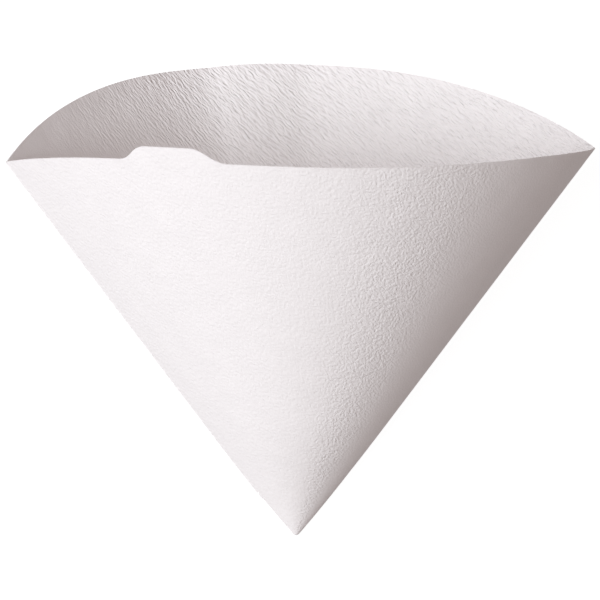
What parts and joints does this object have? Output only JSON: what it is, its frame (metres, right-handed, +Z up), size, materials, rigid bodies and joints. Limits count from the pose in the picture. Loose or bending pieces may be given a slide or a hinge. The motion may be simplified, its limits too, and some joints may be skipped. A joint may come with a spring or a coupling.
{
  "type": "cone coffee filter",
  "caption": "Opened cone coffee filter of creped white paper, with a folded crease, a crimped seam and a pull tab on the rim, lying on its back wall.",
  "frame": {"origin": "on the surface the filter lies on, below the middle of its bounding box", "axes": "+X from the seam to the fold, across the mouth; +Y from the tip to the mouth; +Z up"},
  "size_m": [0.1482, 0.1246, 0.1007],
  "materials": {
    "filter_paper": "matt creped filter paper"
  },
  "bodies": {
    "root": {"filter_paper": "filter_paper"}
  },
  "joints": []
}
